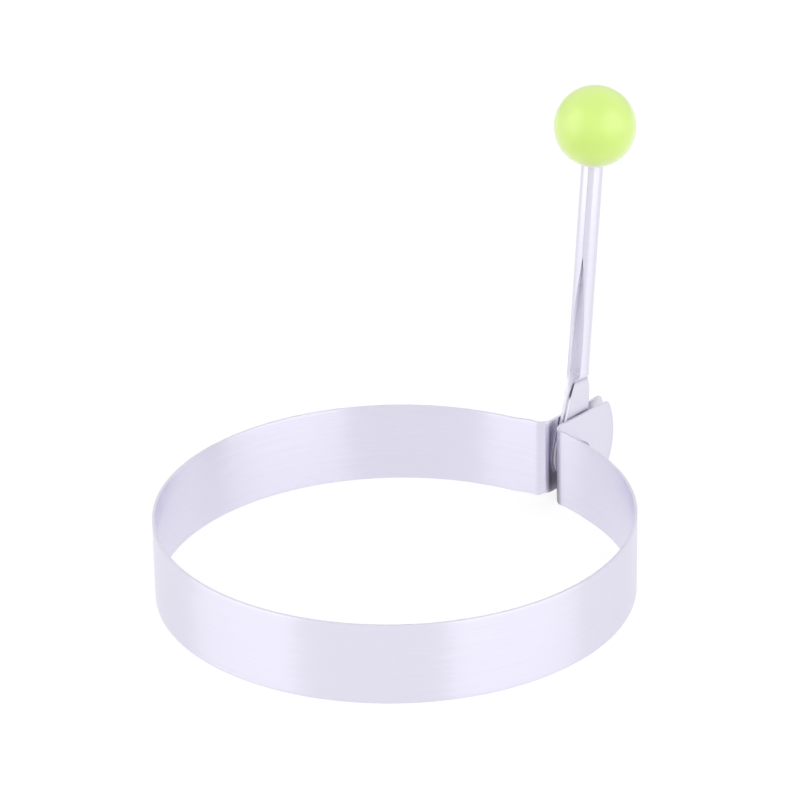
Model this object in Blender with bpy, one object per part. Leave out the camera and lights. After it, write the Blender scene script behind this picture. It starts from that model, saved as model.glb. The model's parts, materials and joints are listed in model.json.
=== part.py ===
# Egg ring with a folding handle, made of two bent sheets, one rivet and a ball.
#
# Lengths are in metres. +Z is up and +Y points from the ring's middle to its hinge. The origin lies on the
# surface that the ring stands on, under the middle of the whole part.
#
# Heights on the handle are counted from the rivet, along the handle. The handle's own frame has its origin on
# the rivet, Z up the handle, Y away from the ring and X along the rivet.

from math import acos, atan2, cos, pi, radians, sin, sqrt, tan

import bmesh
import bpy
from mathutils import Matrix

# Band: one strip, bent into the ring, with both ends turned outward as tabs
ring_diameter = 0.086
band_height = 0.015
band_sheet = 0.0005
bend_radius = 0.002  # on the hollow side of the two bends
tab_reach = 0.0171  # from the ring's outer face to the end of the +X tab
tab_mismatch = 0.001  # the strip is folded a little off its middle, so the -X tab is longer
tab_spread = radians(1.3)  # each tab springs open away from the other
tab_end_radius = 0.0141
tab_end_lift = 0.0014  # middle of the rounded end, above the middle of the band
tab_corner_radius = 0.0006
pivot_reach = 0.0069  # from the ring's outer face to the rivet's middle

# Rivet
shank_radius = 0.0015
head_overhang = 0.001  # how far the heads reach past the shank
head_height = 0.0008
head_edge_share = 0.35  # of the head's height, the upright part of its rim

# Handle: one sheet, rolled into a tube above and pressed flat into two ears below
handle_sheet = 0.0005
tube_diameter = 0.004
handle_length = 0.0634  # rivet to the middle of the ball
handle_lean = radians(5.7)  # outward, as it stands at rest
ear_gap = 0.00015  # between the two ears
ear_end_radius = 0.0042
ear_taper = radians(4.6)  # of the ears' front edges
ear_back_reach = 0.0036  # from the handle's middle line to the outside of the fold
crease_front = 0.0153  # where the round tube begins to be pressed flat, at the seam
crease_back = 0.0146  # and at its back
flat_height = 0.011  # where it is pressed quite flat
run_front = 0.0124  # where the seam's edges have run forward to the ears' front edges
run_back = 0.009  # where the fold has run back to its full reach
seam_gap = 0.00015
slot_top = 0.0412  # where the seam begins to open
slot_angle = radians(49)  # half of the opening at its foot
slot_fullness = 1.6  # how much the slot's edges bow, 1 being straight
seam_turn = radians(21)  # the closed seam has wandered this far to one side
seam_turn_top = 0.036

# Ball
knob_diameter = 0.015
socket_depth = 0.009

# Clearances
running_gap = 0.0003  # between pieces that turn against each other
seat_gap = 0.0003  # between pieces that are pressed or riveted together
cut_overrun = 0.001
weld_distance = 0.00001

# How finely curves are divided
ring_steps = 132
bend_steps = 8
tab_end_steps = 12
corner_steps = 3
turned_steps = 40
knob_steps = 24
head_steps = 5
tube_back_steps = 6
tube_front_steps = 12
slot_rows = 12
press_rows = 12
sharp_angle = radians(30)

# Worked out from the values above
ring_radius = ring_diameter / 2
ring_mid_radius = ring_radius - band_sheet / 2
bend_mid_radius = bend_radius + band_sheet / 2
ear_half_width = ear_gap / 2 + handle_sheet
tab_gap = 2 * (ear_half_width + running_gap)
tab_mid = (tab_gap + band_sheet) / 2
tab_outer = tab_mid + band_sheet / 2
pivot_y = ring_radius + pivot_reach
pivot_z = band_height / 2
far_tab_reach = tab_reach + tab_mismatch
tube_radius = tube_diameter / 2
knob_radius = knob_diameter / 2
knob_end_y = pivot_y + handle_length * sin(handle_lean) + knob_radius
ring_centre_y = (ring_radius - max(knob_end_y, ring_radius + far_tab_reach)) / 2


def lerp(a, b, share):
    return a + (b - a) * share


def ease_out(share):
    """0 to 1, quick at first."""
    share = min(max(share, 0), 1)
    return 1 - (1 - share) ** 2


def ease_both(share):
    """0 to 1, slow at both ends."""
    return (1 - cos(pi * share)) / 2


def arc(centre, radius, start, end, steps):
    """Points of an arc in a plane, both ends included."""
    angles = [lerp(start, end, i / steps) for i in range(steps + 1)]
    return [(centre[0] + radius * cos(a), centre[1] + radius * sin(a)) for a in angles]


def new_object(name, mesh, parent, material=None):
    obj = bpy.data.objects.new(name, mesh)
    bpy.context.scene.collection.objects.link(obj)
    obj.parent = parent
    if material:
        mesh.materials.append(material)
        mesh.shade_smooth()
        mesh.set_sharp_from_angle(angle=sharp_angle)
    return obj


def mesh_from(bm, name):
    mesh = bpy.data.meshes.new(name)
    bm.to_mesh(mesh)
    bm.free()
    return mesh


def thicken(obj, thickness):
    """Gives a sheet its thickness, half to each side."""
    wall = obj.modifiers.new("sheet", "SOLIDIFY")
    wall.thickness = thickness
    wall.offset = 0
    wall.use_even_offset = True


def turned(name, profile, steps):
    """A mesh turned about X from (along, radius) points, the first and last of them on the axis."""
    bm = bmesh.new()
    points = [bm.verts.new((along, 0, radius)) for along, radius in profile]
    edges = [bm.edges.new(pair) for pair in zip(points, points[1:])]
    bmesh.ops.spin(
        bm,
        geom=points + edges,
        axis=(1, 0, 0),
        cent=(0, 0, 0),
        angle=2 * pi,
        steps=steps,
        use_merge=True,
    )
    bmesh.ops.remove_doubles(bm, verts=bm.verts, dist=weld_distance)
    bmesh.ops.recalc_face_normals(bm, faces=bm.faces)
    return mesh_from(bm, name)


def cut_hole(obj, name, pivot, radius, half_length):
    """Cuts a round hole through obj along the pivot's X axis."""
    bm = bmesh.new()
    bmesh.ops.create_cone(
        bm,
        cap_ends=True,
        segments=turned_steps,
        radius1=radius,
        radius2=radius,
        depth=2 * (half_length + cut_overrun),
        matrix=Matrix.Rotation(pi / 2, 4, "Y"),
    )
    cutter = new_object(name, mesh_from(bm, name), pivot)
    cutter.hide_render = True
    cutter.display_type = "WIRE"
    hole = obj.modifiers.new(name, "BOOLEAN")
    hole.object = cutter
    hole.solver = "EXACT"


# Materials


def principled(name, colour, metallic, roughness):
    material = bpy.data.materials.new(name)
    material.use_nodes = True
    shader = material.node_tree.nodes["Principled BSDF"]
    shader.inputs["Base Color"].default_value = (*colour, 1)
    shader.inputs["Metallic"].default_value = metallic
    shader.inputs["Roughness"].default_value = roughness
    return material


def band_steel():
    return principled("brushed_steel_band", (0.78, 0.77, 0.84), 1, 0.3)


def stem_steel():
    return principled("polished_steel_stem", (0.8, 0.79, 0.86), 1, 0.2)


def rivet_steel():
    return principled("steel_rivet", (0.68, 0.68, 0.72), 1, 0.25)


def knob_plastic():
    return principled("green_plastic_knob", (0.56, 0.91, 0.12), 0, 0.18)


# Ring band


def tab_x(y):
    """How far a tab's middle surface lies from the middle between the tabs."""
    return tab_mid + (y - pivot_y) * tan(tab_spread)


def bend_centre():
    """Where the bend's circle touches both the tab's middle surface and the ring's."""
    foot = tab_x(0) + bend_mid_radius / cos(tab_spread)
    slope = tan(tab_spread)
    reach = ring_mid_radius + bend_mid_radius
    y = (sqrt(reach**2 * (1 + slope**2) - foot**2) - foot * slope) / (1 + slope**2)
    return foot + slope * y, y


def band_path():
    """The strip's middle line from above, about the ring's middle: a bend, the ring and the other bend."""
    x, y = bend_centre()
    bend = arc((x, y), bend_mid_radius, -pi - tab_spread, atan2(-y, -x), bend_steps)
    meets = atan2(y, x)
    ring = arc((0, 0), ring_mid_radius, meets, -pi - meets, ring_steps)
    other_bend = [(-x, y) for x, y in reversed(bend)]
    return bend + ring[1:-1] + other_bend


def end_corner(drop):
    """The rounded corner between a tab's end arc and its edge, which lies so far from the arc's middle."""
    away = drop - tab_corner_radius
    out = sqrt((tab_end_radius - tab_corner_radius) ** 2 - away**2)
    meets = atan2(away, out)
    return arc((out, away), tab_corner_radius, pi / 2, meets, corner_steps), meets


def tab_outline(reach):
    """(distance from the ring's middle, height) points round a tab's free end, from its foot to its top."""
    centre_y = ring_radius + reach - tab_end_radius
    centre_z = band_height / 2 + tab_end_lift
    lower, below = end_corner(centre_z)
    upper, above = end_corner(band_height - centre_z)
    end = arc((centre_y, centre_z), tab_end_radius, -below, above, tab_end_steps)
    lower = [(centre_y + out, centre_z - away) for out, away in lower]
    upper = [(centre_y + out, centre_z + away) for out, away in reversed(upper)]
    return lower + end[1:-1] + upper


def ring_band(ring_axis, pivot):
    """The strip as a sheet on its middle surface, thickened, with the rivet's holes cut through both tabs."""
    bm = bmesh.new()
    path = band_path()
    low = [bm.verts.new((x, y, 0)) for x, y in path]
    high = [bm.verts.new((x, y, band_height)) for x, y in path]
    for i in range(len(path) - 1):
        bm.faces.new((low[i], low[i + 1], high[i + 1], high[i]))
    near = [bm.verts.new((tab_x(y), y, z)) for y, z in tab_outline(tab_reach)]
    far = [bm.verts.new((-tab_x(y), y, z)) for y, z in tab_outline(far_tab_reach)]
    bm.faces.new([low[0], high[0]] + near[::-1])
    bm.faces.new([high[-1], low[-1]] + far)
    bmesh.ops.recalc_face_normals(bm, faces=bm.faces)
    band = new_object("ring_band", mesh_from(bm, "ring_band"), ring_axis, band_steel())
    thicken(band, band_sheet)
    cut_hole(band, "tab_holes", pivot, shank_radius + seat_gap, tab_outer)
    return band


# Rivet


def pivot_rivet(pivot):
    """Shank through tabs and ears, with a domed head outside each tab."""
    head_radius = shank_radius + head_overhang
    seat = tab_outer + seat_gap
    rim = head_height * head_edge_share
    dome = [
        (seat + rim + (head_height - rim) * cos(a), head_radius * sin(a))
        for a in (lerp(0, pi / 2, i / head_steps) for i in range(head_steps + 1))
    ]
    half = dome + [(seat, head_radius), (seat, shank_radius)]
    other = [(-along, radius) for along, radius in reversed(half)]
    return new_object("pivot_rivet", turned("pivot_rivet", half + other, turned_steps), pivot, rivet_steel())


# Handle


def slot_edge(height, side):
    """Angle of a seam edge round the tube from its front, counted towards that edge's own side."""
    closed = seam_gap / tube_diameter
    along = min(max((height - crease_front) / (slot_top - crease_front), 0), 1)
    opening = max(slot_angle * (1 - along**slot_fullness), closed)
    turn = seam_turn * ease_out((height - crease_front) / (seam_turn_top - crease_front))
    return opening + side * turn


def ear_front(height):
    """How far the ears' front edges stand forward of the handle's middle line."""
    return ear_end_radius / cos(ear_taper) - height * tan(ear_taper)


def tube_point(column, height, side, depth):
    """Where a column of the sheet lies on the round tube, so deep below its outer face: (x, y)."""
    if column <= tube_back_steps:
        angle = pi / 2 * column / tube_back_steps
    else:
        along = (column - tube_back_steps) / tube_front_steps
        angle = lerp(pi / 2, pi - slot_edge(height, side), ease_both(along))
    return (tube_radius - depth) * sin(angle), (tube_radius - depth) * cos(angle)


def ear_point(column, height, depth):
    """Where that column lies in a flat ear: round the fold at the back, then straight to the front edge."""
    fold_radius = ear_half_width - depth
    fold_y = ear_back_reach - ear_half_width
    if column <= tube_back_steps:
        angle = pi / 2 * column / tube_back_steps
        return fold_radius * sin(angle), fold_y + fold_radius * cos(angle)
    along = (column - tube_back_steps) / tube_front_steps
    return fold_radius, lerp(fold_y, -ear_front(height), ease_both(along))


def column_heights(crease):
    """Heights down one column of the sheet, from the top of the tube to where the ears' round ends begin."""
    tube_top = handle_length - knob_radius + socket_depth - seat_gap
    slot = [lerp(slot_top, crease, i / slot_rows) for i in range(slot_rows)]
    press = [lerp(crease, run_back, i / press_rows) for i in range(press_rows + 1)]
    return [tube_top] + slot + press + [ear_end_radius * sin(ear_taper)]


def stem_column(column, side, depth):
    """Points down one column of the sheet: on the tube, where it is pressed, and on the ear's round end."""
    forward = max(column - tube_back_steps, 0) / tube_front_steps
    crease = lerp(crease_back, crease_front, forward)
    run = lerp(run_back, run_front, forward)
    points = []
    for height in column_heights(crease):
        round_x, round_y = tube_point(column, height, side, depth)
        flat_x, flat_y = ear_point(column, height, depth)
        x = lerp(round_x, flat_x, ease_out((crease - height) / (crease - flat_height)))
        y = lerp(round_y, flat_y, ease_out((crease - height) / (crease - run)))
        points.append((side * x, y, height))
    return points + [(side * x, y, -sqrt(max(ear_end_radius**2 - y**2, 0)))]


def handle_stem(pivot):
    """The rolled and pressed sheet, column by column from one seam edge round the back to the other."""
    bm = bmesh.new()
    front = tube_back_steps + tube_front_steps
    order = [(c, 1) for c in range(front, -1, -1)] + [(c, -1) for c in range(1, front + 1)]
    outer, inner = [
        [[bm.verts.new(point) for point in stem_column(c, side, depth)] for c, side in order]
        for depth in (0, handle_sheet)
    ]
    loop = outer + inner[::-1]
    for left, right in zip(loop, loop[1:] + loop[:1]):
        for i in range(len(left) - 1):
            bm.faces.new((left[i], left[i + 1], right[i + 1], right[i]))
    for i in range(len(order) - 1):
        for end in (0, -1):
            bm.faces.new((outer[i][end], outer[i + 1][end], inner[i + 1][end], inner[i][end]))
    bmesh.ops.recalc_face_normals(bm, faces=bm.faces)
    stem = new_object("handle_stem", mesh_from(bm, "handle_stem"), pivot, stem_steel())
    cut_hole(stem, "ear_holes", pivot, shank_radius + running_gap, tab_gap / 2)
    return stem


# Ball


def knob_ball(pivot):
    """A ball turned in one profile with its blind socket, which opens downward over the tube."""
    bore = tube_radius + seat_gap
    mouth = acos(bore / knob_radius)
    ball = arc((0, 0), knob_radius, pi / 2, -mouth, knob_steps)
    socket_end = socket_depth - knob_radius
    profile = [(height, radius) for radius, height in ball] + [(socket_end, bore), (socket_end, 0)]
    mesh = turned("knob_ball", profile, turned_steps)
    mesh.transform(Matrix.Rotation(-pi / 2, 4, "Y"))
    knob = new_object("knob_ball", mesh, pivot, knob_plastic())
    knob.location = (0, 0, handle_length)
    return knob


# The whole part


def main():
    for obj in list(bpy.data.objects):
        bpy.data.objects.remove(obj)
    ring_axis = new_object("ring_axis", None, None)
    ring_axis.location = (0, ring_centre_y, 0)
    tab_pivot = new_object("tab_pivot", None, ring_axis)
    tab_pivot.location = (0, pivot_y, pivot_z)
    handle_pivot = new_object("handle_pivot", None, tab_pivot)
    handle_pivot.rotation_euler.x = -handle_lean
    ring_band(ring_axis, tab_pivot)
    pivot_rivet(tab_pivot)
    handle_stem(handle_pivot)
    knob_ball(handle_pivot)
    print("The handle turns about X at y", round(ring_centre_y + pivot_y, 6), "and z", pivot_z)


main()
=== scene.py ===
import json
from math import acos, atan2, cos, pi, radians, sin, sqrt, tan

import bmesh
import bpy
from mathutils import Matrix, Vector


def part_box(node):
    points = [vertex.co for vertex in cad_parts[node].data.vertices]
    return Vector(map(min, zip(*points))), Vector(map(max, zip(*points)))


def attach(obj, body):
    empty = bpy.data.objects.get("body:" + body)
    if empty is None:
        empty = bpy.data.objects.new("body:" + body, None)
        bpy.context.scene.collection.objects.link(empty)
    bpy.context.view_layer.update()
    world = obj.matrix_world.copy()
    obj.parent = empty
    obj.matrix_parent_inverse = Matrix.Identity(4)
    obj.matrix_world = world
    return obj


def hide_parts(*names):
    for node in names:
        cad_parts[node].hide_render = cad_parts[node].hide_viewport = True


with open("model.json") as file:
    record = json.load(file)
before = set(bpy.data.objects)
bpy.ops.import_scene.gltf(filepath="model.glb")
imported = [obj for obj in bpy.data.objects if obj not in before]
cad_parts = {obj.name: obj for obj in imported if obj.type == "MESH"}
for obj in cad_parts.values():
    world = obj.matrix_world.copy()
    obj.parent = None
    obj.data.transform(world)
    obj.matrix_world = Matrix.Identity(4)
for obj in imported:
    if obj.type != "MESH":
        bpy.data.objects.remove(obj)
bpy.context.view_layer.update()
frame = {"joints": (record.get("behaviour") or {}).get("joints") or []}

# Places that every piece hangs on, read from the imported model
hinge = Vector(frame["joints"][0]["pos_m"])
bandLow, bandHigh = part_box("ring_band")
ringRadius = (bandHigh.x - bandLow.x) / 2
bandHeight = bandHigh.z - bandLow.z
ringCentre = Vector((0, bandLow.y + ringRadius, bandLow.z))
knobLow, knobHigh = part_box("knob_ball")
knobRadius = (knobHigh.x - knobLow.x) / 2
knobCentre = Vector((0, knobHigh.y - knobRadius, knobHigh.z - knobRadius))
lean = atan2(knobCentre.y - hinge.y, knobCentre.z - hinge.z)
handleLength = (knobCentre - hinge).length
print("frame read: ring radius", round(ringRadius, 5), "handle", round(handleLength, 5))

holeSteps = 64  # sides of a drilled hole and of the rivet
smoothLimit = radians(30)  # edges that turn more than this are shaded sharp


# Small helpers

def lerp(a, b, share):
    return a + (b - a) * share


def easeOut(share):  # 0 to 1, quick at first
    share = min(max(share, 0), 1)
    return 1 - (1 - share) ** 2


def easeBoth(share):  # 0 to 1, slow at both ends
    share = min(max(share, 0), 1)
    return (1 - cos(pi * share)) / 2


def arc(centre, radius, start, end, steps):
    angles = [lerp(start, end, i / steps) for i in range(steps + 1)]
    return [(centre[0] + radius * cos(a), centre[1] + radius * sin(a)) for a in angles]


def toLinear(hexColour):  # sRGB hex to linear red, green, blue and alpha
    values = [int(hexColour[i:i + 2], 16) / 255 for i in (1, 3, 5)]
    return (*[v / 12.92 if v <= 0.04045 else ((v + 0.055) / 1.055) ** 2.4 for v in values], 1)


def addNode(tree, kind, settings={}, inputs={}, links={}):
    node = tree.nodes.new(kind)
    for name, value in settings.items():
        setattr(node, name, value)
    for name, value in inputs.items():
        node.inputs[name].default_value = value
    for name, source in links.items():
        tree.links.new(source, node.inputs[name])
    return node


def newMaterial(name, settings):
    material = bpy.data.materials.new(name)
    material.use_nodes = True
    shader = material.node_tree.nodes["Principled BSDF"]
    for socket, value in settings.items():
        shader.inputs[socket].default_value = value
    return material, shader


def newPiece(name, bm, material):
    mesh = bpy.data.meshes.new(name)
    bm.to_mesh(mesh)
    bm.free()
    obj = bpy.data.objects.new(name, mesh)
    bpy.context.scene.collection.objects.link(obj)
    mesh.materials.append(material)
    return obj


def finishPiece(obj):  # applies what is still live and shades it smooth
    depsgraph = bpy.context.evaluated_depsgraph_get()
    mesh = bpy.data.meshes.new_from_object(obj.evaluated_get(depsgraph))
    obj.modifiers.clear()
    obj.data = mesh
    mesh.name = obj.name
    mesh.shade_smooth()
    mesh.set_sharp_from_angle(angle=smoothLimit)


def drill(obj, radius, halfLength):  # a round hole through obj along the hinge
    bm = bmesh.new()
    bmesh.ops.create_cone(
        bm, cap_ends=True, segments=holeSteps, radius1=radius, radius2=radius, depth=2 * halfLength,
        matrix=Matrix.Translation(hinge) @ Matrix.Rotation(pi / 2, 4, "Y"),
    )
    cutter = newPiece(obj.name + "_drill", bm, obj.data.materials[0])
    hole = obj.modifiers.new("hole", "BOOLEAN")
    hole.object = cutter
    hole.solver = "EXACT"
    finishPiece(obj)
    bpy.data.objects.remove(cutter)


def roundEdges(obj, values):  # values is the piece's dictionary
    bevel = obj.modifiers.new("edges", "BEVEL")
    bevel.width = values["edgeRound"]
    bevel.segments = values["edgeSteps"]
    bevel.limit_method = "ANGLE"
    bevel.angle_limit = values["edgeAngle"]


# Brushed steel, for the band and the handle

def inTheGap(tree, facingLimit):
    # painted shade on the sides of the tabs and bends that look at each other, none outside
    place = addNode(tree, "ShaderNodeTexCoord")
    split = addNode(tree, "ShaderNodeSeparateXYZ", links={"Vector": place.outputs["Object"]})
    surface = addNode(tree, "ShaderNodeNewGeometry")
    facing = addNode(
        tree, "ShaderNodeSeparateXYZ", links={"Vector": surface.outputs["True Normal"]},
    )
    outward = addNode(
        tree, "ShaderNodeMath", {"operation": "MULTIPLY"},
        links={0: split.outputs["X"], 1: facing.outputs["X"]},
    )
    inward = addNode(
        tree, "ShaderNodeMath", {"operation": "LESS_THAN"}, {1: facingLimit},
        {0: outward.outputs[0]},
    )
    shade = addNode(tree, "ShaderNodeAttribute", {"attribute_name": "gapShade"})
    both = addNode(
        tree, "ShaderNodeMath", {"operation": "MULTIPLY"},
        links={0: inward.outputs[0], 1: shade.outputs["Fac"]},
    )
    return both.outputs[0]


def brushedSteel(name, finish):
    # stainless sheet, brushed before it was bent: reflections stay sharp along the grain and
    # smear across it
    material, shader = newMaterial(name, {
        "Metallic": 1,
        "Anisotropic": finish["anisotropy"],
        "Anisotropic Rotation": 0.25,  # a quarter turn, so that the grain runs along U
    })
    tree = material.node_tree
    grainWay = addNode(tree, "ShaderNodeTangent", {"direction_type": "UV_MAP", "uv_map": "strip"})
    tree.links.new(grainWay.outputs["Tangent"], shader.inputs["Tangent"])
    place = addNode(tree, "ShaderNodeUVMap", {"uv_map": "strip"})  # metres: U along the grain
    streaks = []
    for lengthMm, widthMm, detail in (
        (finish["grainLengthMm"], finish["grainMm"], 3),
        (finish["waveLengthMm"], finish["waveMm"], 1),
    ):
        stretched = addNode(
            tree, "ShaderNodeMapping", inputs={"Scale": (1000 / lengthMm, 1000 / widthMm, 1)},
            links={"Vector": place.outputs["UV"]},
        )
        noise = addNode(
            tree, "ShaderNodeTexNoise", inputs={"Scale": 1, "Detail": detail, "Roughness": 0.6},
            links={"Vector": stretched.outputs["Vector"]},
        )
        streaks.append(noise.outputs["Fac"])
    fine, broad = streaks
    spread = {"From Min": 0.3, "From Max": 0.7}  # nearly all of the noise lies between these

    # colour: nearly even, a little greyer in some streaks; other colours are laid over it
    streaky = addNode(tree, "ShaderNodeMapRange", inputs=spread, links={"Value": fine})
    grey = addNode(
        tree, "ShaderNodeMix", {"data_type": "RGBA"},
        {6: toLinear(finish["dullColour"]), 7: toLinear(finish["colour"])},
        {"Factor": streaky.outputs["Result"]},
    )
    layers = []

    # gloss: the grain's depth varies from streak to streak
    ground = addNode(
        tree, "ShaderNodeMapRange",
        inputs={
            **spread,
            "To Min": finish["roughness"] - finish["roughnessSpread"],
            "To Max": finish["roughness"] + finish["roughnessSpread"],
        },
        links={"Value": fine},
    )
    gloss = ground.outputs["Result"]

    if "edgeColour" in finish:  # the sheared edges are duller
        split = addNode(tree, "ShaderNodeSeparateXYZ", links={"Vector": place.outputs["UV"]})
        middle = addNode(
            tree, "ShaderNodeMath", {"operation": "SUBTRACT"}, {1: finish["halfHeight"]},
            {0: split.outputs["Y"]},
        )
        away = addNode(
            tree, "ShaderNodeMath", {"operation": "ABSOLUTE"}, links={0: middle.outputs[0]},
        )
        edge = addNode(
            tree, "ShaderNodeMapRange",
            inputs={
                "From Min": finish["halfHeight"] - finish["edgeReach"],
                "From Max": finish["halfHeight"] - finish["edgeFull"],
            },
            links={"Value": away.outputs[0]},
        )
        layers.append((edge.outputs["Result"], finish["edgeColour"]))
    # painted shade where the bends and tabs face each other
    if "gapShadeColour" in finish:
        layers.append((inTheGap(tree, finish["facingLimit"]), finish["gapShadeColour"]))
    if "backColour" in finish:  # the sheet's back isn't brushed: it is matt, with a near-white colour that is painted light inside the tube and on the ears' inner faces
        back = addNode(tree, "ShaderNodeAttribute", {"attribute_name": "sheetBack"}).outputs["Fac"]
        # painted shade on the handle sheet, from its own attribute
        paintedShadeMark = addNode(tree, "ShaderNodeAttribute", {"attribute_name": "paintedShadeMark"}).outputs["Fac"]
        layers += [(back, finish["backColour"]), (paintedShadeMark, finish["paintedShadeColour"])]
        bare = addNode(
            tree, "ShaderNodeMapRange", inputs={"To Min": 1, "To Max": 0}, links={"Value": back},
        )
        tree.links.new(bare.outputs["Result"], shader.inputs["Metallic"])
        gloss = addNode(
            tree, "ShaderNodeMix", inputs={3: finish["backRoughness"]},
            links={"Factor": back, 2: gloss},
        ).outputs[0]
    tree.links.new(gloss, shader.inputs["Roughness"])

    colour = grey.outputs[2]
    for mask, over in layers:
        mixed = addNode(
            tree, "ShaderNodeMix", {"data_type": "RGBA"}, {7: toLinear(over)},
            {"Factor": mask, 6: colour},
        )
        colour = mixed.outputs[2]
    tree.links.new(colour, shader.inputs["Base Color"])

    # the rolled sheet is faintly wavy along its grain, which combs the ends of a reflection
    waves = addNode(
        tree, "ShaderNodeMapRange",
        inputs={**spread, "To Min": 0.5 - finish["waveTilt"], "To Max": 0.5 + finish["waveTilt"]},
        links={"Value": broad},
    )
    tilt = addNode(
        tree, "ShaderNodeCombineXYZ", inputs={"Y": 0.5, "Z": 1},
        links={"X": waves.outputs["Result"]},
    )
    wavy = addNode(
        tree, "ShaderNodeNormalMap", {"space": "TANGENT", "uv_map": "strip"},
        links={"Color": tilt.outputs["Vector"]},
    )
    scratched = addNode(
        tree, "ShaderNodeBump", inputs={"Strength": 0.2, "Distance": finish["grainDepthMm"] / 1000},
        links={"Height": fine, "Normal": wavy.outputs["Normal"]},
    )
    tree.links.new(scratched.outputs["Normal"], shader.inputs["Normal"])
    return material


# Ring band: a column of points swept round the strip's line, so it is one sheet from tab to tab

bandFinish = {
    "colour": "#ECEAF9",
    "dullColour": "#E8E6F4",
    "edgeColour": "#E9E7F4",
    "halfHeight": 0.0075,  # of the strip
    "edgeReach": 0.00012,  # the edge's colour starts this far from a rim, and is full at edgeFull
    "edgeFull": 0.00002,
    # colour of the painted shade between the bends and tabs
    "gapShadeColour": "#8C8692",
    "facingLimit": -0.0003,  # X times the normal's X: a face below this looks across the gap
    "roughness": 0.335,
    "roughnessSpread": 0.03,
    "anisotropy": 1,
    "grainMm": 0.3,  # along the strip; real grain is nearer 0.05 mm, too fine to show
    "grainLengthMm": 25,
    "grainDepthMm": 0.004,
    "waveMm": 0.8,
    "waveLengthMm": 14,
    "waveTilt": 0.012,
}

band = {  # two values are for the tabs and bends at +X and -X
    "sheet": 0.0005,
    "bendRadius": {1: 0.0027, -1: 0.002},  # on the hollow side
    "tabReach": 0.0171,  # from the ring's outer face to the +X tab's end
    "tabMismatch": 0.001,  # the -X tab is longer by this
    "tabSpread": radians(1.3),
    "tabGap": 0.00175,  # between the tabs, at the rivet
    "endRadius": 0.0141,  # of the tabs' rounded ends
    "endLift": 0.0014,  # the ends' middle above the strip's middle
    "cornerRadius": 0.0006,
    "holeRadius": 0.0016,
    "edgeRound": 0.00007,
    "edgeSteps": 2,
    "edgeAngle": radians(50),
    # levels of the painted shade in the gap: darkest at the foot, lighter at the top, and by the
    # tabs' ends
    "gapShade": {"foot": 0.8, "top": 0.2, "tabEnd": 0.65},
    "gapShadeStart": {1: 0, -1: 0.88},  # shares of the way round each bend
    "gapShadeFull": {1: 0.48, -1: 1},
    "gapShadeEnd": 0.0565,  # from the ring's middle
    "gapShadeFade": 0.002,
    "sweptRadius": 0.0045,  # of the disc round the rivet that the turning ears sweep, where the tabs get no painted shade
    "sweptBelow": 0.0038,  # how far below the rivet they pass on their way in
    "sweptFade": 0.0003,
    "sweptEnd": 0.002,  # this far beyond the rivet the painted shade is back, at the tabEnd level
    "bendLift": {1: 0.0003, -1: 0.00048},
    "tabLift": {1: 0, -1: 0.00048},  # where the tab begins
    "liftReach": {1: 0.009, -1: 0.005},  # of the lift, from the bend into the ring
    "footLift": 0.0004,  # more, of the lower rim in the second half of each bend
    "footLiftStart": 0.4,  # shares of the way round each bend
    "footLiftFull": 0.8,
    "tabSteps": 12,
    "rows": 24,
    "cornerRows": 4,
    "ringSteps": 288,
    "bendSteps": 20,
}


def tabX(y):  # middle of a tab's sheet, at y from the ring's middle
    tabMid = (band["tabGap"] + band["sheet"]) / 2
    return tabMid + (y - (hinge.y - ringCentre.y)) * tan(band["tabSpread"])


def bendMiddle(side):  # of the circle that runs on into both the ring and the tab
    radius = band["bendRadius"][side] + band["sheet"] / 2
    slope = tan(band["tabSpread"])
    foot = tabX(0) + radius / cos(band["tabSpread"])
    reach = ringRadius - band["sheet"] / 2 + radius
    y = (sqrt(reach**2 * (1 + slope**2) - foot**2) - foot * slope) / (1 + slope**2)
    return Vector((side * (foot + slope * y), y, 0))


def endCorner(drop):  # drop is from the end's middle to the rim that the corner joins
    away = drop - band["cornerRadius"]
    out = sqrt((band["endRadius"] - band["cornerRadius"]) ** 2 - away**2)
    meets = atan2(away, out)
    return arc((out, away), band["cornerRadius"], pi / 2, meets, band["cornerRows"]), meets


def tabOutline(reach):  # y and z up a tab's free end, one point for each row of the strip
    y = ringRadius + reach - band["endRadius"]
    z = bandHeight / 2 + band["endLift"]
    lower, below = endCorner(z)
    upper, above = endCorner(bandHeight - z)
    end = arc((y, z), band["endRadius"], -below, above, band["rows"] - 2 * band["cornerRows"])
    lower = [(y + out, z - away) for out, away in lower]
    upper = [(y + out, z + away) for out, away in reversed(upper)]
    return lower + end[1:-1] + upper


def sweep(bm, column, middle, angle, steps, radius):
    along = bm.verts.layers.float["along"]
    for i in range(steps):
        made = bmesh.ops.spin(
            bm, geom=column, cent=middle, axis=(0, 0, 1), angle=angle / steps, steps=1,
        )
        column = made["geom_last"]
        for v in column:
            if isinstance(v, bmesh.types.BMVert):
                v[along] += abs(angle) / steps * radius
    return column


def addTab(bm, column, side, reach):
    along = bm.verts.layers.float["along"]
    edges = [e for e in column if isinstance(e, bmesh.types.BMEdge)]
    for i in range(band["tabSteps"]):
        before = (i / band["tabSteps"]) ** 2  # squared, so that the steps are closer by the bend
        after = ((i + 1) / band["tabSteps"]) ** 2
        share = (after - before) / (1 - before)
        made = bmesh.ops.extrude_edge_only(bm, edges=edges)
        edges = [e for e in made["geom"] if isinstance(e, bmesh.types.BMEdge)]
        ends = [v for v in made["geom"] if isinstance(v, bmesh.types.BMVert)]
        ends.sort(key=lambda v: v.co.z)
        for v, (endY, endZ) in zip(ends, tabOutline(reach)):
            y = lerp(v.co.y, endY, share)
            z = lerp(v.co.z, endZ, share)
            v[along] += -side * (y - v.co.y)
            v.co = (side * tabX(y), y, z)


def roundBend(place, side):  # 0 where the ring ends, 1 where the tab begins
    radius = band["bendRadius"][side] + band["sheet"] / 2
    return (abs(bendMiddle(side).x) - abs(place.x)) / radius


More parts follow.
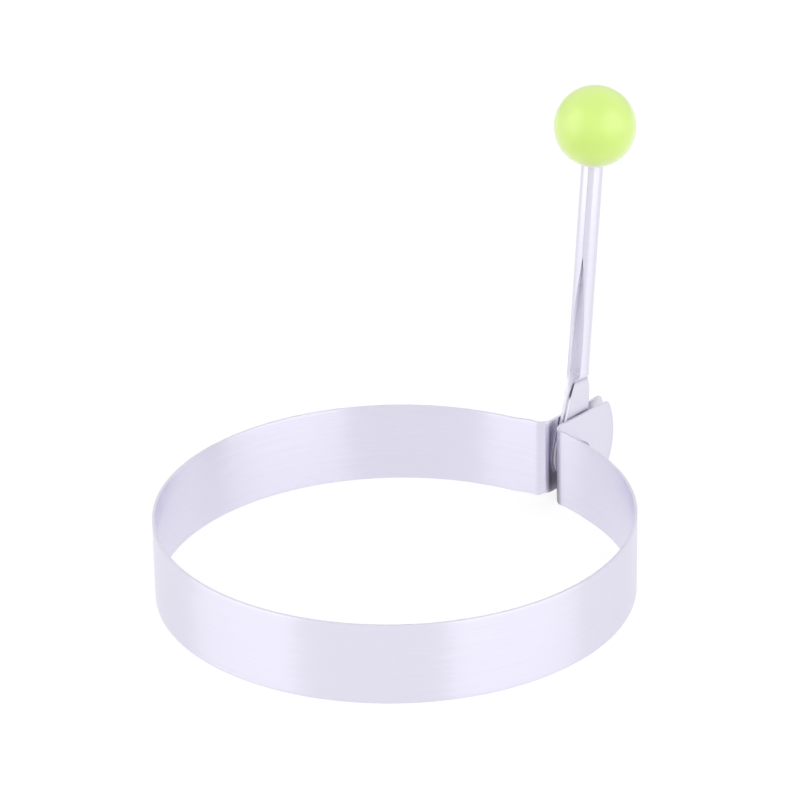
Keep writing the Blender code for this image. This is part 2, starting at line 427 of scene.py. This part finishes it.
def bendLift(place):  # the bending pulled the strip up a little by the hinge
    if place.y < 0:
        return 0
    side = 1 if place.x > 0 else -1
    bendMid = bendMiddle(side)
    turned = roundBend(place, side)
    lift = lerp(band["bendLift"][side], band["tabLift"][side], easeBoth(turned))
    start, full = band["footLiftStart"], band["footLiftFull"]
    foot = easeBoth((turned - start) / (full - start))
    lift += band["footLift"] * foot * (1 - place.z / bandHeight)
    onRing = (abs(place.x) - abs(bendMid.x)) / band["liftReach"][side]
    onTab = (place.y - bendMid.y) / (ringRadius + band["tabReach"] - bendMid.y)
    return lift * (1 - easeBoth(max(onRing, onTab)))


def gapShade(place):
    # painted shade where the bends and tabs face each other, darkest at the foot and lighter towards
    # the top; it starts further round the -X bend
    side = 1 if place.x > 0 else -1
    bendMid = bendMiddle(side)
    turned = roundBend(place, side)
    if turned < 0 or place.y < 0:
        return 0
    shade = lerp(band["gapShade"]["foot"], band["gapShade"]["top"], place.z / bandHeight)
    if place.y < bendMid.y:
        start, full = band["gapShadeStart"][side], band["gapShadeFull"][side]
        return shade * easeBoth((turned - start) / (full - start))
    # the tabs are left without painted shade, so they read lighter, in a disc by the rivet and
    # wherever the handle passes on its way in
    y, z = place.y - (hinge.y - ringCentre.y), place.z - (hinge.z - ringCentre.z)
    beyond = easeBoth(y / band["sweptEnd"])
    inDisc = 1 - easeBoth((sqrt(y**2 + z**2) - band["sweptRadius"]) / band["sweptFade"])
    passed = easeBoth((z + band["sweptBelow"]) / band["sweptFade"]) * (1 - beyond)
    passed *= easeBoth((y + band["sweptRadius"]) / band["sweptFade"] + 1)
    shade = lerp(shade, band["gapShade"]["tabEnd"], beyond) * (1 - max(inDisc, passed))
    return shade * (1 - easeBoth((place.y - band["gapShadeEnd"]) / band["gapShadeFade"]))


def makeBand():
    bm = bmesh.new()
    along = bm.verts.layers.float.new("along")
    shade = bm.verts.layers.float.new("gapShade")
    ringMid = ringRadius - band["sheet"] / 2
    spread, rows, bendSteps = band["tabSpread"], band["rows"], band["bendSteps"]
    turns, radii, middles = {}, {}, {}
    for side in (1, -1):
        middles[side] = bendMiddle(side)
        radii[side] = band["bendRadius"][side] + band["sheet"] / 2
        # from square to the tab to where the ring starts
        turns[side] = atan2(middles[side].y, abs(middles[side].x)) + spread
    start = middles[1] + radii[1] * Vector((-cos(spread), sin(spread), 0))
    points = [bm.verts.new(start + Vector((0, 0, bandHeight * i / rows))) for i in range(rows + 1)]
    column = points + [bm.edges.new(pair) for pair in zip(points, points[1:])]
    first = list(column)
    ringTurn = pi + turns[1] + turns[-1] - 2 * spread
    column = sweep(bm, column, middles[1], turns[1], bendSteps, radii[1])
    column = sweep(bm, column, Vector(), -ringTurn, band["ringSteps"], ringMid)
    column = sweep(bm, column, middles[-1], turns[-1], bendSteps, radii[-1])
    addTab(bm, first, 1, band["tabReach"])
    addTab(bm, column, -1, band["tabReach"] + band["tabMismatch"])
    for v in bm.verts:
        v[shade] = gapShade(v.co)
        v.co.z += bendLift(v.co)
    bmesh.ops.recalc_face_normals(bm, faces=bm.faces)
    strip = bm.loops.layers.uv.new("strip")
    for face in bm.faces:
        for loop in face.loops:
            loop[strip].uv = (loop.vert[along], loop.vert.co.z)
    bmesh.ops.translate(bm, verts=bm.verts, vec=ringCentre)
    piece = newPiece("band_strip", bm, brushedSteel("brushed_stainless_strip", bandFinish))
    wall = piece.modifiers.new("sheet", "SOLIDIFY")
    wall.thickness = band["sheet"]
    wall.offset = 0
    wall.use_even_offset = True
    drill(piece, band["holeRadius"], bandHeight / 2)
    roundEdges(piece, band)
    finishPiece(piece)
    return piece


# Handle: one sheet, rolled into a tube above and pressed flat into two ears below

stemFinish = {
    "colour": "#E7E5F3",
    "dullColour": "#E3E1EE",
    # near white, lighter than bare steel: painted light on the sheet's matt back
    "backColour": "#F8F6FF",
    "backRoughness": 0.5,
    # colour of the painted shade on the handle sheet
    "paintedShadeColour": "#5C5866",
    "roughness": 0.34,
    "roughnessSpread": 0.03,
    "anisotropy": 0.86,
    "grainMm": 0.3,  # round the tube; as coarse as the band's
    "grainLengthMm": 25,
    "grainDepthMm": 0.002,
    "waveMm": 1.5,
    "waveLengthMm": 10,
    "waveTilt": 0.008,
}

stem = {  # heights are up the handle from the hinge; two values are for the ears at +X and -X
    "sheet": 0.0005,
    "tubeRadius": 0.002,
    "earGap": 0.00004,
    "earSpread": 0.0002,  # each ear outward, where it lies between the tabs
    "spreadFull": 0.0055,
    "earEndRadius": 0.0049,
    "footTaper": {1: radians(14.4), -1: radians(11.2)},  # of the front edges, by the round end
    "neckRadius": 0.0046,
    "neckTaper": {1: radians(12), -1: radians(8.8)},  # of the same edges, further up
    "earBackReach": 0.0036,
    "creaseFront": 0.0153,  # where the die starts to press the tube flat
    "creaseBack": 0.0158,
    "pressLength": {1: 0.0016, -1: 0.0041},
    "flareTop": {1: 0.0146, -1: 0.0153},  # where the front edges start to swing out
    "flareEnd": {1: 0.0111, -1: 0.0124},
    "flareBackEnd": 0.0108,
    "earTop": 0.009,
    "seamGap": 0.00002,
    "slotTop": 0.039,
    "slotAngle": radians(49),  # to each side, at the slot's foot
    "slotFullness": 1.45,
    "shallowFrom": 0.014,  # from here up the sheet was folded ever closer under its seam
    "shallowBy": 0.036,
    "shallowDepth": 0.0004,  # of the slot at its shallowest
    "seamTurn": radians(21),  # round the tube, at its top
    "seamTurnTop": 0.036,
    "holeRadius": 0.0018,
    "edgeRound": 0.00004,
    "edgeSteps": 2,
    "edgeAngle": radians(60),
    "creaseShadePlace": 0.7,  # of the painted shade band below the crease, in press lengths
    "creaseShadeReach": 0.001,
    "creaseShadeDepth": 0.32,
    # painted shadow of the tabs on the ears' outer faces, and painted shade low on their inner faces
    # and front edges
    "tabShadowDepth": 0.3,
    "tabShadowTop": 0.0075,
    "lowShadeFade": 0.001,
    "insideShadeDepth": 0.25,
    "frontEdgeShadeDepth": 0.3,  # painted shade on the front edges between the tabs
    "insideTop": 0.0108,
    "insideFade": 0.0014,
    # painted dark line on the narrower ear's front edge, where the gap between the ears lies in
    # shade
    "gapLineMiddle": 0.0127,
    "gapLineReach": 0.0021,
    "backSteps": 14,
    "frontSteps": 28,
    "slotRows": 60,
    "pressRows": 70,
}


def slotEdge(height, side):  # angle from the front of the tube to an edge of the seam
    full = (height - stem["creaseFront"]) / (stem["slotTop"] - stem["creaseFront"])
    along = min(max(full, 0), 1)
    closed = stem["seamGap"] / 2 / stem["tubeRadius"]
    opening = max(stem["slotAngle"] * (1 - along ** stem["slotFullness"]), closed)
    turned = easeOut((height - stem["creaseFront"]) / (stem["seamTurnTop"] - stem["creaseFront"]))
    return opening + side * stem["seamTurn"] * turned


def tubePoint(across, height, side, depth):
    if across <= 1:
        angle = pi / 2 * across
    else:
        angle = lerp(pi / 2, pi - slotEdge(height, side), easeBoth(across - 1))
    radius = stem["tubeRadius"] - depth
    if depth:  # the inside is filled from its back to a flat floor, closer to the slot with height
        full = (height - stem["shallowFrom"]) / (stem["shallowBy"] - stem["shallowFrom"])
        closer = min(max(full, 0), 1)
        floorY = lerp(radius, stem["shallowDepth"] - radius, closer)
        meets = acos(floorY / radius)
        if angle < meets:
            return radius * sin(meets) * angle / meets, floorY
    return radius * sin(angle), radius * cos(angle)


def earPoint(across, height, side, depth):
    spread = (stem["earTop"] - height) / (stem["earTop"] - stem["spreadFull"])
    spread = min(max(spread, 0), 1)
    halfWidth = stem["earGap"] / 2 + stem["sheet"] + stem["earSpread"] * spread
    foldY = stem["earBackReach"] - halfWidth
    if across <= 1:
        angle = pi / 2 * across
        return (halfWidth - depth) * sin(angle), foldY + (halfWidth - depth) * cos(angle)
    footTaper, neckTaper = stem["footTaper"][side], stem["neckTaper"][side]
    foot = stem["earEndRadius"] / cos(footTaper) - height * tan(footTaper)
    neck = stem["neckRadius"] / cos(neckTaper) - height * tan(neckTaper)
    return halfWidth - depth, lerp(foldY, -max(foot, neck), easeBoth(across - 1))


def columnHeights(crease):
    slotRows, pressRows = stem["slotRows"], stem["pressRows"]
    tubeTop = handleLength - knobRadius + knob["socketDepth"]
    slot = [lerp(stem["slotTop"], crease, i / slotRows) for i in range(slotRows)]
    press = [lerp(crease, stem["earTop"], i / pressRows) for i in range(pressRows + 1)]
    roundTop = stem["earEndRadius"] * sin(stem["footTaper"][-1])
    return [tubeTop] + slot + press + [stem["spreadFull"], roundTop]


def stemColumn(across, side, depth):  # across is 0 at the fold, 1 at the side and 2 at the seam
    forward = max(across - 1, 0)
    crease = lerp(stem["creaseBack"], stem["creaseFront"], forward)
    flareTop = lerp(crease, stem["flareTop"][side], forward)
    flareEnd = lerp(stem["flareBackEnd"], stem["flareEnd"][side], forward)
    length = lerp(stem["pressLength"][1], stem["pressLength"][side], forward)
    points = []
    for height in columnHeights(crease):
        roundX, roundY = tubePoint(across, height, side, depth)
        flatX, flatY = earPoint(across, height, side, depth)
        pressed = (crease - height) / length
        if side < 0:  # the wider ear opens out as it is pressed: its outline runs on from the tube's
            pressed = lerp(easeBoth(pressed), easeOut(pressed), forward)
        else:
            pressed = easeBoth(pressed)
        x = lerp(roundX, flatX, pressed)
        y = lerp(roundY, flatY, easeOut((flareTop - height) / (flareTop - flareEnd)))
        points.append(Vector((side * x, y, height)))
    end = -sqrt(max(stem["earEndRadius"] ** 2 - y**2, 0))
    return points + [Vector((side * x, y, end))]


def paintedShadeAt(across, side, isBack, height):  # painted shade: a band below the crease, a dark line for the gap between the ears, and where the tabs shade the ears
    if across == 2:  # the sheared front edge: on the narrower ear a painted dark line for the shaded gap between the ears, and painted shade between the tabs
        gapLine = 1 - easeBoth(abs(height - stem["gapLineMiddle"]) / stem["gapLineReach"])
        gapLine = min(2 * gapLine, 1)  # doubled and cut off, so it is full in the middle of its reach
        edgeShade = 1 - easeBoth((height - stem["spreadFull"]) / stem["lowShadeFade"])
        return max(stem["frontEdgeShadeDepth"] * edgeShade, gapLine if side > 0 else 0)
    # painted shade on the ears' inner faces, below insideTop
    if isBack:
        lowShade = 1 - easeBoth((height - stem["insideTop"]) / stem["insideFade"])
        return stem["insideShadeDepth"] * lowShade
    # painted shade on the outer faces: a band below the crease, and low down where the tabs shade
    # the ears
    crease = (stem["creaseFront"] + stem["creaseBack"]) / 2
    middle = crease - stem["creaseShadePlace"] * stem["pressLength"][1]
    creaseShade = 1 - easeBoth(abs(height - middle) / stem["creaseShadeReach"])
    lowShade = 1 - easeBoth((height - stem["tabShadowTop"]) / stem["lowShadeFade"])
    return max(stem["creaseShadeDepth"] * creaseShade, stem["tabShadowDepth"] * lowShade)


def makeStem():
    half = [i / stem["backSteps"] for i in range(stem["backSteps"])]
    half += [1 + i / stem["frontSteps"] for i in range(stem["frontSteps"] + 1)]
    order = [(a, 1) for a in reversed(half)] + [(a, -1) for a in half[1:]]
    columns = [stemColumn(a, side, 0) for a, side in order]
    inner = [stemColumn(a, side, stem["sheet"]) for a, side in order]
    bm = bmesh.new()
    across = bm.verts.layers.float.new("across")
    back = bm.verts.layers.float.new("sheetBack")
    paintedShadeMark = bm.verts.layers.float.new("paintedShadeMark")
    for points, isBack in ((columns, 0), (inner, 1)):
        # a flat grid, from -1 to 1 each way, is laid on each face of the sheet
        made = bmesh.ops.create_grid(
            bm, x_segments=len(points) - 1, y_segments=len(points[0]) - 1, size=1,
        )
        grid = sorted(made["verts"], key=lambda v: (round(v.co.x, 5), v.co.y))  # by columns
        places = [(*where, point) for where, column in zip(order, points) for point in column]
        for v, (a, side, point) in zip(grid, places):
            v[across] = v.co.x * pi * stem["tubeRadius"]
            v[back] = isBack
            v[paintedShadeMark] = paintedShadeAt(a, side, isBack, point.z)
            v.co = point
    bmesh.ops.bridge_loops(bm, edges=[e for e in bm.edges if e.is_boundary])
    bmesh.ops.recalc_face_normals(bm, faces=bm.faces)
    strip = bm.loops.layers.uv.new("strip")
    for face in bm.faces:
        for loop in face.loops:
            loop[strip].uv = (loop.vert[across], loop.vert.co.z)
    bm.transform(Matrix.Translation(hinge) @ Matrix.Rotation(-lean, 4, "X"))
    piece = newPiece("handle_sheet", bm, brushedSteel("brushed_stainless_sheet", stemFinish))
    drill(piece, stem["holeRadius"], stem["tubeRadius"])
    roundEdges(piece, stem)
    finishPiece(piece)
    return piece


# Rivet and ball: turned profiles

def turn(bm, profile, steps):  # about X, from (along, radius) points
    points = [bm.verts.new((along, 0, radius)) for along, radius in profile]
    edges = [bm.edges.new(pair) for pair in zip(points, points[1:])]
    bmesh.ops.spin(
        bm, geom=points + edges, axis=(1, 0, 0), cent=(0, 0, 0), angle=2 * pi, steps=steps,
        use_merge=True,
    )
    bmesh.ops.remove_doubles(bm, verts=bm.verts, dist=0.000001)
    bmesh.ops.recalc_face_normals(bm, faces=bm.faces)


rivetFinish = {
    "colour": "#B9B7C2",
    "dullColour": "#A09EAA",
    "roughest": 0.5,
    "smoothest": 0.3,
    "mottleMm": 0.5,
}

rivet = {
    "shankRadius": 0.0015,
    "headRadius": 0.0025,
    "headHeight": 0.0011,
    "rimShare": 0.75,  # of the head's height, below its dome
    "seat": 0.00003,  # from the tab to the head
    "edgeRound": 0.00008,
    "edgeSteps": 2,
    "edgeAngle": radians(40),
    "domeSteps": 12,
}


def rivetSteel():
    # cold-headed steel: the punch leaves it smooth with a faint mottle, darker than the sheet
    material, shader = newMaterial("cold_headed_steel", {"Metallic": 1})
    tree = material.node_tree
    place = addNode(tree, "ShaderNodeTexCoord")
    mottle = addNode(
        tree, "ShaderNodeTexNoise", inputs={"Scale": 1000 / rivetFinish["mottleMm"], "Detail": 2},
        links={"Vector": place.outputs["Object"]},
    )
    shade = addNode(
        tree, "ShaderNodeMix", {"data_type": "RGBA"},
        {6: toLinear(rivetFinish["dullColour"]), 7: toLinear(rivetFinish["colour"])},
        {"Factor": mottle.outputs["Fac"]},
    )
    tree.links.new(shade.outputs[2], shader.inputs["Base Color"])
    gloss = addNode(
        tree, "ShaderNodeMapRange",
        inputs={"To Min": rivetFinish["roughest"], "To Max": rivetFinish["smoothest"]},
        links={"Value": mottle.outputs["Fac"]},
    )
    tree.links.new(gloss.outputs["Result"], shader.inputs["Roughness"])
    return material


def makeRivet():
    seat = band["tabGap"] / 2 + band["sheet"] + rivet["seat"]
    rim = rivet["headHeight"] * rivet["rimShare"]
    steps = rivet["domeSteps"]
    dome = [
        (seat + rim + (rivet["headHeight"] - rim) * cos(a), rivet["headRadius"] * sin(a))
        for a in (pi / 2 * i / steps for i in range(steps + 1))
    ]
    half = dome + [(seat, rivet["headRadius"]), (seat, rivet["shankRadius"])]
    bm = bmesh.new()
    turn(bm, half + [(-along, radius) for along, radius in reversed(half)], holeSteps)
    bm.transform(Matrix.Translation(hinge))
    piece = newPiece("rivet", bm, rivetSteel())
    roundEdges(piece, rivet)
    finishPiece(piece)
    return piece


knobFinish = {
    "colour": "#CEED71",
    "deepColour": "#C8E76B",
    "cloudMm": 5,
    "roughest": 0.44,
    "smoothest": 0.34,
    "peelMm": 0.7,
    "peelDepthMm": 0.004,
}

knob = {
    "boreClearance": 0.00002,
    "socketDepth": 0.009,
    "edgeRound": 0.0002,  # of the socket's mouth
    "edgeSteps": 3,
    "edgeAngle": radians(50),
    "arcSteps": 64,
    "spinSteps": 128,
}


def knobPlastic():
    # glossy moulded polypropylene, a little translucent, so light spreads under its skin; the dye
    # is faintly cloudy and the skin has the fine orange peel of a moulding, with a bloom that
    # pales it towards the rim
    material, shader = newMaterial("green_polypropylene", {
        "IOR": 1.49,
        "Specular IOR Level": 0.9,
        "Coat Weight": 1,
        "Coat Roughness": 0.36,
        "Coat IOR": 1.8,
        "Sheen Weight": 1,
        "Sheen Roughness": 0.3,
        "Subsurface Weight": 1,
        "Subsurface Radius": (1, 1, 0.6),
        "Subsurface Scale": 0.008,
    })
    tree = material.node_tree
    place = addNode(tree, "ShaderNodeTexCoord")
    cloud = addNode(
        tree, "ShaderNodeTexNoise", inputs={"Scale": 1000 / knobFinish["cloudMm"], "Detail": 1},
        links={"Vector": place.outputs["Object"]},
    )
    dye = addNode(
        tree, "ShaderNodeMix", {"data_type": "RGBA"},
        {6: toLinear(knobFinish["deepColour"]), 7: toLinear(knobFinish["colour"])},
        {"Factor": cloud.outputs["Fac"]},
    )
    tree.links.new(dye.outputs[2], shader.inputs["Base Color"])
    peel = addNode(
        tree, "ShaderNodeTexNoise", inputs={"Scale": 1000 / knobFinish["peelMm"], "Detail": 2},
        links={"Vector": place.outputs["Object"]},
    )
    gloss = addNode(
        tree, "ShaderNodeMapRange",
        inputs={"To Min": knobFinish["roughest"], "To Max": knobFinish["smoothest"]},
        links={"Value": peel.outputs["Fac"]},
    )
    tree.links.new(gloss.outputs["Result"], shader.inputs["Roughness"])
    bumpy = addNode(
        tree, "ShaderNodeBump",
        inputs={"Strength": 0.3, "Distance": knobFinish["peelDepthMm"] / 1000},
        links={"Height": peel.outputs["Fac"]},
    )
    tree.links.new(bumpy.outputs["Normal"], shader.inputs["Normal"])
    return material


def makeKnob():
    bore = stem["tubeRadius"] + knob["boreClearance"]
    mouth = acos(bore / knobRadius)
    ball = arc((0, 0), knobRadius, pi / 2, -mouth, knob["arcSteps"])
    socketEnd = knob["socketDepth"] - knobRadius
    profile = [(height, radius) for radius, height in ball] + [(socketEnd, bore), (socketEnd, 0)]
    bm = bmesh.new()
    turn(bm, profile, knob["spinSteps"])
    upright = Matrix.Rotation(-lean, 4, "X") @ Matrix.Rotation(-pi / 2, 4, "Y")
    bm.transform(Matrix.Translation(knobCentre) @ upright)
    piece = newPiece("ball", bm, knobPlastic())
    roundEdges(piece, knob)
    finishPiece(piece)
    return piece


# Studio

studio = {
    "floorSize": 6,
    "floorDrop": 0.00005,
    "floorColour": "#FFFFFF",
    "floorSeen": 1.02,  # the floor's brightness in the picture, just over white
    "floorLit": 0.9,  # brightness that the light alone would give to its matt paper
    "shadowShare": 0.3,  # how much of the floor's brightness in the picture can fall into shadow
    "worldLevel": 0.85,
    "farLevel": 0.5,  # of the far end, up to the height whose sine is farLow
    "farLow": 0.15,
    "farHigh": 0.4,
    "farSide": 0.15,  # it starts to dim where this is the cosine of the turn from straight ahead
    "boxes": {"right_box": (55, 1.125), "left_box": (-73, 0.937)},  # azimuth in degrees, width
    "boxDistance": 0.9,
    "boxHeight": 1.2,
    "boxLevel": 0.67,
}

photoView = {  # fitted to the ring's rims; turns in degrees, lengths in metres
    "turn": 41.7,
    "tilt": 25.575,
    "roll": 0.9956,
    "distance": 0.75227,
    "right": 0.0012835,
    "up": 0.0329212,
    "focalPixels": 4204.8,
    "imagePixels": 800,
}


def viewAxes():
    turned = Matrix.Rotation(radians(photoView["turn"]), 3, "Z")
    tilt = radians(photoView["tilt"])
    right = turned @ Vector((1, 0, 0))
    forward = turned @ Vector((0, cos(tilt), -sin(tilt)))
    up = turned @ Vector((0, sin(tilt), cos(tilt)))
    return right, forward, up


def makeCamera():
    right, forward, up = viewAxes()
    roll = radians(photoView["roll"])
    place = ringCentre - photoView["distance"] * forward
    place = place + photoView["right"] * right + photoView["up"] * up
    across = cos(roll) * right - sin(roll) * up
    upward = sin(roll) * right + cos(roll) * up
    facing = Matrix((across, upward, -forward)).transposed().to_4x4()
    data = bpy.data.cameras.new("photo_camera")
    data.lens = photoView["focalPixels"] / photoView["imagePixels"] * data.sensor_width
    data.clip_start = 0.01
    camera = bpy.data.objects.new("photo_camera", data)
    bpy.context.scene.collection.objects.link(camera)
    camera.matrix_world = Matrix.Translation(place) @ facing
    bpy.context.scene.camera = camera


def seenStraight(tree):  # 1 for what the camera, a reflection or glass sees, 0 for light on things
    path = addNode(tree, "ShaderNodeLightPath")
    direct = addNode(
        tree, "ShaderNodeMath", {"operation": "MAXIMUM"},
        links={0: path.outputs["Is Camera Ray"], 1: path.outputs["Is Glossy Ray"]},
    )
    seen = addNode(
        tree, "ShaderNodeMath", {"operation": "MAXIMUM"},
        links={0: direct.outputs[0], 1: path.outputs["Is Transmission Ray"]},
    )
    return seen.outputs[0]


def softBox(name, azimuth, width):  # upright; azimuth from behind the camera, to its right
    right, forward, up = viewAxes()
    back = Vector((-forward.x, -forward.y, 0)).normalized()
    away = cos(radians(azimuth)) * back + sin(radians(azimuth)) * right
    data = bpy.data.lights.new(name, "AREA")
    data.shape = "RECTANGLE"
    data.size = width
    data.size_y = studio["boxHeight"]
    data.energy = studio["boxLevel"] * pi * width * studio["boxHeight"]
    light = bpy.data.objects.new(name, data)
    bpy.context.scene.collection.objects.link(light)
    facing = away.to_track_quat("Z", "Y").to_matrix().to_4x4()
    middle = ringCentre + studio["boxDistance"] * away + Vector((0, 0, studio["boxHeight"] / 2))
    light.matrix_world = Matrix.Translation(middle) @ facing


def floorPaper():
    # white paper sweep: seen, it glows to white and keeps a faint shadow; to the light it is
    # plain matt paper
    material, shader = newMaterial("white_paper", {
        "Base Color": toLinear(studio["floorColour"]),
        "Roughness": 0.9,
    })
    tree = material.node_tree
    share = studio["shadowShare"]
    matt = addNode(tree, "ShaderNodeBsdfDiffuse", inputs={"Color": (share, share, share, 1)})
    glow = addNode(
        tree, "ShaderNodeEmission",
        inputs={"Strength": studio["floorSeen"] - share * studio["floorLit"]},
    )
    shown = addNode(
        tree, "ShaderNodeAddShader",
        links={0: matt.outputs["BSDF"], 1: glow.outputs["Emission"]},
    )
    either = addNode(
        tree, "ShaderNodeMixShader",
        links={0: seenStraight(tree), 1: shader.outputs["BSDF"], 2: shown.outputs["Shader"]},
    )
    tree.links.new(either.outputs["Shader"], tree.nodes["Material Output"].inputs["Surface"])
    return material


def makeStudio():
    world = bpy.data.worlds.new("white_studio")
    bpy.context.scene.world = world
    world.use_nodes = True
    tree = world.node_tree
    background = tree.nodes["Background"]
    background.inputs["Color"].default_value = (1, 1, 1, 1)
    # the far end of the studio is a little dimmer than the rest, up to the height of a table lamp
    way = addNode(tree, "ShaderNodeTexCoord")
    forward = viewAxes()[1]
    levelWay = Vector((forward.x, forward.y, 0)).normalized()
    ahead = addNode(
        tree, "ShaderNodeVectorMath", {"operation": "DOT_PRODUCT"}, {1: levelWay},
        {0: way.outputs["Generated"]},
    )
    height = addNode(tree, "ShaderNodeSeparateXYZ", links={"Vector": way.outputs["Generated"]})
    farEnd = addNode(
        tree, "ShaderNodeMapRange", {"interpolation_type": "SMOOTHSTEP"},
        {
            "From Min": studio["farLow"],
            "From Max": studio["farHigh"],
            "To Min": studio["farLevel"],
            "To Max": 1,
        },
        {"Value": height.outputs["Z"]},
    )
    dimmed = addNode(
        tree, "ShaderNodeMapRange", {"interpolation_type": "SMOOTHSTEP"},
        {"From Min": studio["farSide"], "From Max": 1, "To Min": 1},
        {"Value": ahead.outputs["Value"], "To Max": farEnd.outputs["Result"]},
    )
    level = addNode(
        tree, "ShaderNodeMix", inputs={2: studio["worldLevel"]},
        links={"Factor": seenStraight(tree), 3: dimmed.outputs["Result"]},
    )
    tree.links.new(level.outputs[0], background.inputs["Strength"])
    bm = bmesh.new()
    bmesh.ops.create_grid(bm, x_segments=1, y_segments=1, size=studio["floorSize"] / 2)
    bmesh.ops.translate(bm, verts=bm.verts, vec=(0, 0, -studio["floorDrop"]))
    newPiece("floor", bm, floorPaper())
    for name, (azimuth, width) in studio["boxes"].items():
        softBox(name, azimuth, width)
    bpy.context.scene.view_settings.view_transform = "Standard"


makeCamera()
makeStudio()
print("studio ready")

bandPiece = makeBand()
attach(bandPiece, "ring")
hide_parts("ring_band")
print("band made:", len(bandPiece.data.polygons), "faces")

rivetPiece = makeRivet()
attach(rivetPiece, "ring")
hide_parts("pivot_rivet")
print("rivet made:", len(rivetPiece.data.polygons), "faces")

stemPiece = makeStem()
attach(stemPiece, "handle")
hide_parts("handle_stem")
print("handle sheet made:", len(stemPiece.data.polygons), "faces")

knobPiece = makeKnob()
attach(knobPiece, "handle")
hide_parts("knob_ball")
print("ball made:", len(knobPiece.data.polygons), "faces")
